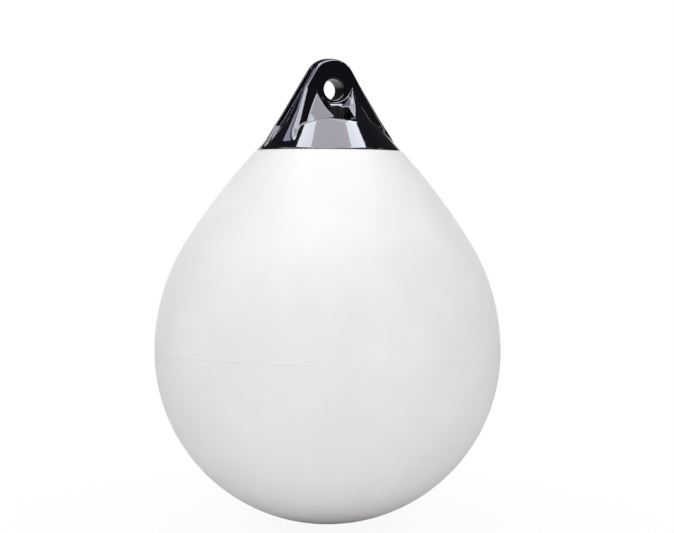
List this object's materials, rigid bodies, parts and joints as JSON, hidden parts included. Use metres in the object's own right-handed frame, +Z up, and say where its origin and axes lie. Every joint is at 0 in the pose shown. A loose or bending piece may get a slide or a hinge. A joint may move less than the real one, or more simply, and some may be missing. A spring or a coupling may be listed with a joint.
{
  "type": "ball fender",
  "caption": "Inflatable white vinyl ball fender, teardrop shaped, with a moulded black rope eye that houses the air valve.",
  "frame": {"origin": "centre of the rope eye's bore, on the fender's upright axis", "axes": "+Z up along the fender's axis, bore of the eye along Y, valve and front of the eye towards -Y, ends of the eye along X"},
  "size_m": [0.37, 0.3698, 0.4965],
  "materials": {
    "ball_vinyl": "soft gloss, smooth inflated vinyl",
    "eye_vinyl": "high gloss black moulded vinyl",
    "valve_plastic": "satin black",
    "seal_rubber": "matt black"
  },
  "bodies": {
    "root": {"float_ball": "ball_vinyl", "rope_eye": "eye_vinyl", "valve_sleeve": "valve_plastic", "valve_seal": "seal_rubber", "valve_plug": "valve_plastic"}
  },
  "joints": []
}
